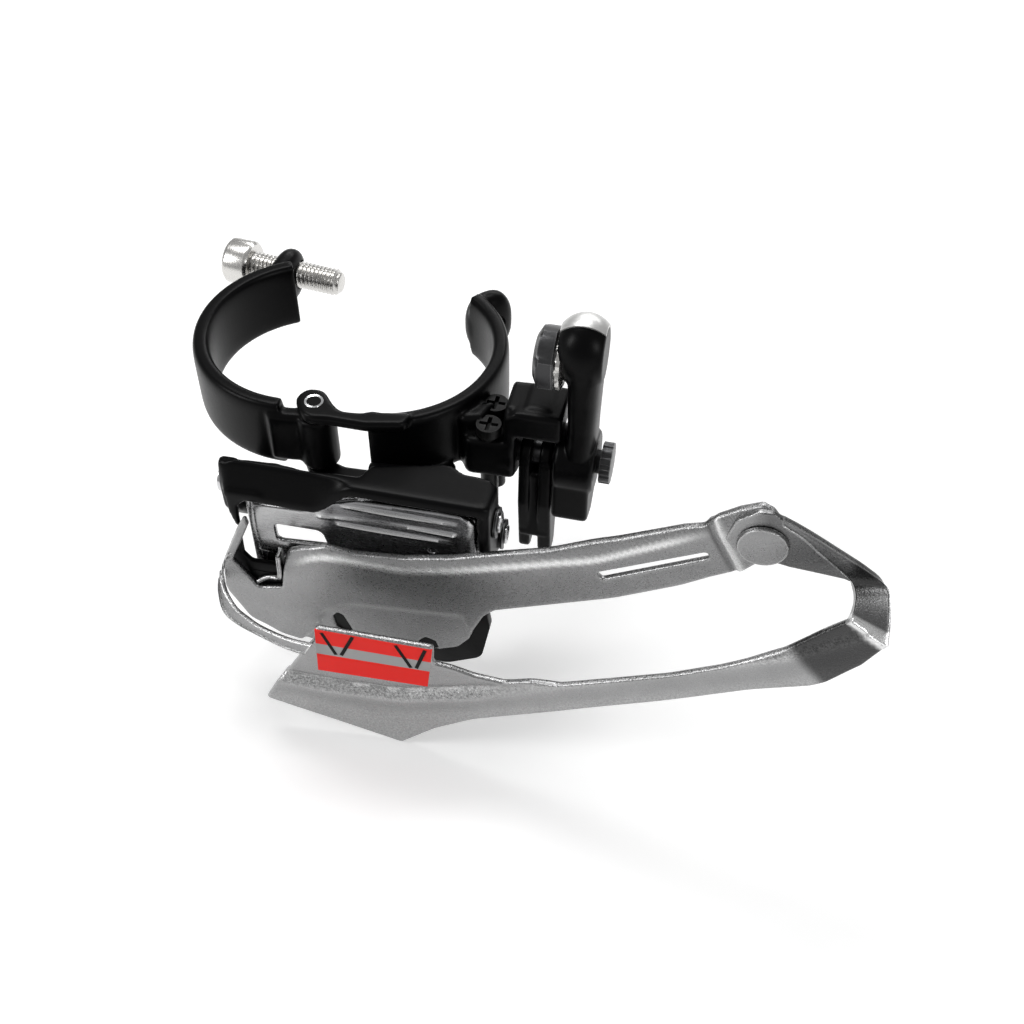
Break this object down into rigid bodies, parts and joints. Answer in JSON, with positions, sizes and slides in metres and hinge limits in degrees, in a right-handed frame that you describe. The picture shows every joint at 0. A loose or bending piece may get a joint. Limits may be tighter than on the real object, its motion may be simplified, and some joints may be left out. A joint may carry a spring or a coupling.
{
  "type": "front derailleur",
  "caption": "Clamp-on bicycle front derailleur: hinged black band clamp, spring-loaded parallelogram linkage, cable arm and a long curved two-plate steel chain cage.",
  "frame": {"origin": "middle of the seat-tube clamp's bore", "axes": "+Z along the clamp's bore, +X along the cage towards its tail, -Y away from the seat tube towards the outer plate"},
  "size_m": [0.1251, 0.0749, 0.0697],
  "materials": {
    "black_paint": "satin gloss",
    "nickel_steel": "satin",
    "polished_steel": "polished",
    "zinc_steel": "bright",
    "cast_alloy": "satin",
    "red_film": "gloss",
    "black_plastic": "matte",
    "bush_plastic": "matte"
  },
  "bodies": {
    "clamp_body": {"clamp_body": "black_paint", "hinge_pin": "zinc_steel", "frame_pins": "zinc_steel", "pin_clips": "zinc_steel", "arm_pivot_pin": "black_paint", "return_spring": "zinc_steel"},
    "strap": {"clamp_strap": "black_paint"},
    "bolt": {"clamp_bolt": "zinc_steel"},
    "outer_link_body": {"outer_link": "polished_steel", "link_bushes": "bush_plastic"},
    "inner_link_body": {"inner_link": "black_paint"},
    "cage": {"cage_inner_plate": "nickel_steel", "cage_outer_plate": "nickel_steel", "tail_rivet": "nickel_steel", "cage_bracket": "black_paint", "bracket_rivets": "zinc_steel", "cage_pins": "zinc_steel", "skid_pad": "black_plastic", "alignment_sticker": "red_film"},
    "arm": {"cable_arm": "black_paint", "arm_cap": "cast_alloy", "stop_fork": "black_paint"},
    "cable_clamp": {"cable_bolt": "black_paint", "cable_washer": "zinc_steel"},
    "low_screw": {"low_limit_screw": "zinc_steel"},
    "high_screw": {"high_limit_screw": "zinc_steel"}
  },
  "joints": [
    {"name": "strap_hinge", "type": "hinge", "parent": "clamp_body", "child": "strap", "pos_m": [-0.00734, -0.01817, 0], "axis": [0, 0, 1], "range_deg": [-42, 0]},
    {"name": "clamp_bolt_travel", "type": "slide", "parent": "strap", "child": "bolt", "axis": [0.9945, -0.1045, 0], "range_m": [0, 0.0048]},
    {"name": "outer_link_pivot", "type": "hinge", "parent": "clamp_body", "child": "outer_link_body", "pos_m": [0.0028, -0.027, -0.0045], "axis": [-1, 0, 0], "range_deg": [0, 32], "stiffness_Nm_per_rad": 0.4, "springref_deg": -17.19},
    {"name": "inner_link_pivot", "type": "hinge", "parent": "clamp_body", "child": "inner_link_body", "pos_m": [0.0071, -0.0226, -0.012], "axis": [-1, 0, 0], "range_deg": [0, 32]},
    {"name": "cage_pivot", "type": "hinge", "parent": "outer_link_body", "child": "cage", "pos_m": [0.0028, -0.027, -0.0225], "axis": [-1, 0, 0], "range_deg": [-32, 0]},
    {"name": "cable_arm_pivot", "type": "hinge", "parent": "clamp_body", "child": "arm", "pos_m": [0.032, -0.011, -0.0032], "axis": [-1, 0, 0], "range_deg": [0, 32]},
    {"name": "cable_clamp_travel", "type": "slide", "parent": "arm", "child": "cable_clamp", "axis": [-1, 0, 0], "range_m": [0, 0.003]},
    {"name": "low_limit_travel", "type": "slide", "parent": "clamp_body", "child": "low_screw", "axis": [0, 0, 1], "range_m": [-0.0007, 0.002]},
    {"name": "high_limit_travel", "type": "slide", "parent": "clamp_body", "child": "high_screw", "axis": [0, 0, 1], "range_m": [-0.0007, 0.002]}
  ],
  "couplings": [
    {"joint": "inner_link_pivot", "follows": "outer_link_pivot", "ratio": 1},
    {"joint": "cage_pivot", "follows": "outer_link_pivot", "ratio": -1},
    {"joint": "cable_arm_pivot", "follows": "outer_link_pivot", "ratio": 1}
  ]
}
